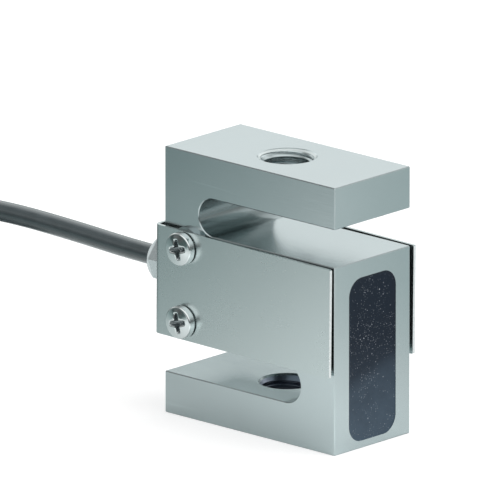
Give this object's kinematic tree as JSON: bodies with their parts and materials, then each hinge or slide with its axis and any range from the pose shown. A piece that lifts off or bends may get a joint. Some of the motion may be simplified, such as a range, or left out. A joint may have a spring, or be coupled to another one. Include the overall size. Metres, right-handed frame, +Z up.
{
  "type": "s type load cell",
  "caption": "S-shaped tension and compression load cell with threaded arms, a folded side cover, a potted end pocket and a cable folded into a tied hank.",
  "frame": {"origin": "on the load axis, the common axis of the two threaded holes, at the bottom face of the lower arm", "axes": "+Z up along the load axis, +X towards the potted end, -X towards the cable gland, -Y the front"},
  "size_m": [0.2485, 0.044, 0.061],
  "materials": {
    "nickel_plated_steel": "machined and nickel plated, satin",
    "cover_sheet": "satin sheet",
    "washer_steel": "bright plated",
    "screw_steel": "polished",
    "board_laminate": "solder-masked glass epoxy",
    "resistor_ceramic": "ceramic chip",
    "potting_resin": "dark glossy resin",
    "gauge_foil": "polyimide foil",
    "terminal_laminate": "laminate with copper pads",
    "tinned_copper": "tinned wire",
    "ribbon_jacket": "flat bridge lead",
    "silicone": "translucent silicone",
    "core_red": "wire insulation",
    "core_black": "wire insulation",
    "core_green": "wire insulation",
    "core_white": "wire insulation",
    "gland_plating": "bright nickel-plated brass",
    "gasket_rubber": "flat ring",
    "cable_jacket": "dark grey PVC jacket, satin",
    "tie_nylon": "natural nylon",
    "sleeve_shrink": "heat-shrink sleeve"
  },
  "bodies": {
    "root": {"spring_element": "nickel_plated_steel", "side_cover": "cover_sheet", "spacer_washers": "washer_steel", "cover_screws": "screw_steel", "circuit_board": "board_laminate", "trim_resistors": "resistor_ceramic", "end_potting": "potting_resin", "gauge_front": "gauge_foil", "gauge_back": "gauge_foil", "terminal_front": "terminal_laminate", "terminal_back": "terminal_laminate", "jumpers_front": "tinned_copper", "jumpers_back": "tinned_copper", "ribbon_front": "ribbon_jacket", "ribbon_back": "ribbon_jacket", "coating_front": "silicone", "coating_back": "silicone", "core_red": "core_red", "core_black": "core_black", "core_green": "core_green", "core_white": "core_white", "gland_body": "gland_plating", "gland_gasket": "gasket_rubber", "gland_nut": "gland_plating", "gland_seal": "gasket_rubber", "cable_lead": "cable_jacket", "cable_hank": "cable_jacket", "cable_tail": "cable_jacket", "hank_ties": "tie_nylon", "end_sleeve": "sleeve_shrink", "lead_red": "core_red", "lead_black": "core_black", "lead_green": "core_green", "lead_white": "core_white", "bare_ends": "tinned_copper"}
  },
  "joints": []
}
